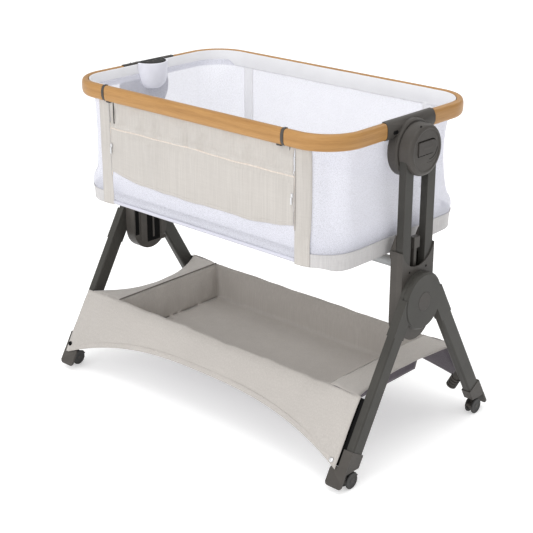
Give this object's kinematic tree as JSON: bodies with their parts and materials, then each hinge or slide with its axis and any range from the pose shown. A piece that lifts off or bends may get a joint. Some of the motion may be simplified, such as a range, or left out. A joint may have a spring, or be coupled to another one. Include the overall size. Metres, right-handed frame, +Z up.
{
  "type": "bassinet on stand",
  "caption": "Bedside bassinet with a drop side, hung between two height-adjustable posts on folding A-frame legs with braked casters and a fabric storage basket.",
  "frame": {"origin": "on the floor under the middle of the stand", "axes": "+X along the length towards the end without the pod, +Y towards the fixed back side away from the drop side, +Z up"},
  "size_m": [0.95, 0.562, 0.7798],
  "materials": {
    "dark_plastic": "fine moulded texture, warm dark grey",
    "dark_metal": "satin powder coat, warm dark grey",
    "button_plastic": "smooth satin",
    "grey_metal": "satin grey paint",
    "rim_oak": "oak look, satin",
    "linen": "heathered linen weave",
    "canvas": "plain weave, matt",
    "white_mesh": "open knitted mesh",
    "mattress_cover": "soft white knit",
    "board": "plain",
    "white_plastic": "satin white",
    "black_plastic": "satin black",
    "wheel_plastic": "matt dark tread"
  },
  "bodies": {
    "stand": {"column_outer_right": "dark_plastic", "column_outer_left": "dark_plastic", "column_inner_right": "dark_plastic", "column_inner_left": "dark_plastic", "crossbar": "grey_metal", "storage_basket": "canvas", "basket_skirts": "canvas"},
    "cot": {"rim_tube": "grey_metal", "rim_cover_back": "rim_oak", "rim_cover_front_right": "rim_oak", "rim_cover_front_left": "rim_oak", "hub_bracket_right": "dark_plastic", "hub_bracket_left": "dark_plastic", "base_ring": "grey_metal", "base_board": "board", "mattress": "mattress_cover", "cot_fabric": "white_mesh", "pod_body": "white_plastic", "pod_lid": "black_plastic"},
    "drop_side": {"drop_rail_tube": "grey_metal", "drop_rail_cover": "rim_oak", "drop_rail_ends": "button_plastic", "drop_panel": "linen"},
    "post_right": {"post_tubes_right": "dark_metal", "hub_housing_right": "dark_plastic"},
    "tilt_button_right": {"tilt_button_right": "button_plastic"},
    "fold_button_right": {"fold_button_right": "button_plastic"},
    "height_latch_right": {"height_latch_right": "dark_plastic"},
    "rail_release_right": {"rail_release_right": "button_plastic"},
    "post_left": {"post_tubes_left": "dark_metal", "hub_housing_left": "dark_plastic"},
    "tilt_button_left": {"tilt_button_left": "button_plastic"},
    "fold_button_left": {"fold_button_left": "button_plastic"},
    "height_latch_left": {"height_latch_left": "dark_plastic"},
    "rail_release_left": {"rail_release_left": "button_plastic"},
    "leg_front_right": {"leg_front_right": "dark_metal", "foot_cap_front_right": "dark_plastic"},
    "caster_front_right": {"caster_front_right": "dark_plastic"},
    "wheels_front_right": {"wheels_front_right": "wheel_plastic"},
    "brake_front_right": {"brake_front_right": "dark_plastic"},
    "leg_front_left": {"leg_front_left": "dark_metal", "foot_cap_front_left": "dark_plastic"},
    "caster_front_left": {"caster_front_left": "dark_plastic"},
    "wheels_front_left": {"wheels_front_left": "wheel_plastic"},
    "brake_front_left": {"brake_front_left": "dark_plastic"},
    "leg_rear_right": {"leg_rear_right": "dark_metal", "foot_cap_rear_right": "dark_plastic", "rear_stop_right": "dark_plastic"},
    "caster_rear_right": {"caster_rear_right": "dark_plastic"},
    "wheels_rear_right": {"wheels_rear_right": "wheel_plastic"},
    "brake_rear_right": {"brake_rear_right": "dark_plastic"},
    "leg_rear_left": {"leg_rear_left": "dark_metal", "foot_cap_rear_left": "dark_plastic", "rear_stop_left": "dark_plastic"},
    "caster_rear_left": {"caster_rear_left": "dark_plastic"},
    "wheels_rear_left": {"wheels_rear_left": "wheel_plastic"},
    "brake_rear_left": {"brake_rear_left": "dark_plastic"}
  },
  "joints": [
    {"name": "post_right_slide", "type": "slide", "parent": "stand", "child": "post_right", "axis": [0, 0, 1], "range_m": [0, 0.1]},
    {"name": "tilt_button_right_press", "type": "slide", "parent": "post_right", "child": "tilt_button_right", "axis": [-1, 0, 0], "range_m": [0, 0.0035], "stiffness_N_per_m": 400, "springref_m": -0.001},
    {"name": "fold_button_right_press", "type": "slide", "parent": "stand", "child": "fold_button_right", "axis": [-1, 0, 0], "range_m": [0, 0.0025], "stiffness_N_per_m": 400, "springref_m": -0.001},
    {"name": "height_latch_right_lift", "type": "slide", "parent": "stand", "child": "height_latch_right", "axis": [0, 0, 1], "range_m": [0, 0.006], "stiffness_N_per_m": 300, "springref_m": -0.002},
    {"name": "rail_release_right_press", "type": "slide", "parent": "drop_side", "child": "rail_release_right", "axis": [0, 0, 1], "range_m": [0, 0.003], "stiffness_N_per_m": 300, "springref_m": -0.001},
    {"name": "post_left_slide", "type": "slide", "parent": "stand", "child": "post_left", "axis": [0, 0, 1], "range_m": [0, 0.1]},
    {"name": "tilt_button_left_press", "type": "slide", "parent": "post_left", "child": "tilt_button_left", "axis": [1, 0, 0], "range_m": [0, 0.0035], "stiffness_N_per_m": 400, "springref_m": -0.001},
    {"name": "fold_button_left_press", "type": "slide", "parent": "stand", "child": "fold_button_left", "axis": [1, 0, 0], "range_m": [0, 0.0025], "stiffness_N_per_m": 400, "springref_m": -0.001},
    {"name": "height_latch_left_lift", "type": "slide", "parent": "stand", "child": "height_latch_left", "axis": [0, 0, 1], "range_m": [0, 0.006], "stiffness_N_per_m": 300, "springref_m": -0.002},
    {"name": "rail_release_left_press", "type": "slide", "parent": "drop_side", "child": "rail_release_left", "axis": [0, 0, 1], "range_m": [0, 0.003], "stiffness_N_per_m": 300, "springref_m": -0.001},
    {"name": "cot_swing", "type": "hinge", "parent": "post_right", "child": "cot", "pos_m": [0.437, 0, 0.711], "axis": [1, 0, 0], "range_deg": [-10, 10]},
    {"name": "drop_side_fold", "type": "hinge", "parent": "cot", "child": "drop_side", "pos_m": [0, -0.2465, 0.497], "axis": [1, 0, 0], "range_deg": [0, 165]},
    {"name": "leg_front_right_fold", "type": "hinge", "parent": "stand", "child": "leg_front_right", "pos_m": [0.456, 0, 0.369], "axis": [1, 0, 0], "range_deg": [0, 28], "deforming": ["basket_skirts"]},
    {"name": "caster_front_right_swivel", "type": "hinge", "parent": "leg_front_right", "child": "caster_front_right", "pos_m": [0.46225, -0.243, 0.05], "axis": [0, 0, 1], "continuous": true},
    {"name": "wheels_front_right_roll", "type": "hinge", "parent": "caster_front_right", "child": "wheels_front_right", "pos_m": [0.46225, -0.239, 0.019], "axis": [1, 0, 0], "continuous": true},
    {"name": "brake_front_right_press", "type": "hinge", "parent": "caster_front_right", "child": "brake_front_right", "pos_m": [0.46225, -0.2235, 0.026], "axis": [-1, 0, 0], "range_deg": [0, 12]},
    {"name": "leg_front_left_fold", "type": "hinge", "parent": "stand", "child": "leg_front_left", "pos_m": [-0.456, 0, 0.369], "axis": [1, 0, 0], "range_deg": [0, 28]},
    {"name": "caster_front_left_swivel", "type": "hinge", "parent": "leg_front_left", "child": "caster_front_left", "pos_m": [-0.46225, -0.243, 0.05], "axis": [0, 0, 1], "continuous": true},
    {"name": "wheels_front_left_roll", "type": "hinge", "parent": "caster_front_left", "child": "wheels_front_left", "pos_m": [-0.46225, -0.239, 0.019], "axis": [1, 0, 0], "continuous": true},
    {"name": "brake_front_left_press", "type": "hinge", "parent": "caster_front_left", "child": "brake_front_left", "pos_m": [-0.46225, -0.2235, 0.026], "axis": [-1, 0, 0], "range_deg": [0, 12]},
    {"name": "leg_rear_right_fold", "type": "hinge", "parent": "stand", "child": "leg_rear_right", "pos_m": [0.456, 0, 0.369], "axis": [-1, 0, 0], "range_deg": [0, 28]},
    {"name": "caster_rear_right_swivel", "type": "hinge", "parent": "leg_rear_right", "child": "caster_rear_right", "pos_m": [0.46225, 0.243, 0.05], "axis": [0, 0, 1], "continuous": true},
    {"name": "wheels_rear_right_roll", "type": "hinge", "parent": "caster_rear_right", "child": "wheels_rear_right", "pos_m": [0.46225, 0.239, 0.019], "axis": [1, 0, 0], "continuous": true},
    {"name": "brake_rear_right_press", "type": "hinge", "parent": "caster_rear_right", "child": "brake_rear_right", "pos_m": [0.46225, 0.2235, 0.026], "axis": [1, 0, 0], "range_deg": [0, 12]},
    {"name": "leg_rear_left_fold", "type": "hinge", "parent": "stand", "child": "leg_rear_left", "pos_m": [-0.456, 0, 0.369], "axis": [-1, 0, 0], "range_deg": [0, 28]},
    {"name": "caster_rear_left_swivel", "type": "hinge", "parent": "leg_rear_left", "child": "caster_rear_left", "pos_m": [-0.46225, 0.243, 0.05], "axis": [0, 0, 1], "continuous": true},
    {"name": "wheels_rear_left_roll", "type": "hinge", "parent": "caster_rear_left", "child": "wheels_rear_left", "pos_m": [-0.46225, 0.239, 0.019], "axis": [1, 0, 0], "continuous": true},
    {"name": "brake_rear_left_press", "type": "hinge", "parent": "caster_rear_left", "child": "brake_rear_left", "pos_m": [-0.46225, 0.2235, 0.026], "axis": [1, 0, 0], "range_deg": [0, 12]}
  ],
  "couplings": [
    {"joint": "post_left_slide", "follows": "post_right_slide", "ratio": 1},
    {"joint": "leg_front_left_fold", "follows": "leg_front_right_fold", "ratio": 1},
    {"joint": "leg_rear_right_fold", "follows": "leg_front_right_fold", "ratio": 1},
    {"joint": "leg_rear_left_fold", "follows": "leg_front_right_fold", "ratio": 1}
  ]
}
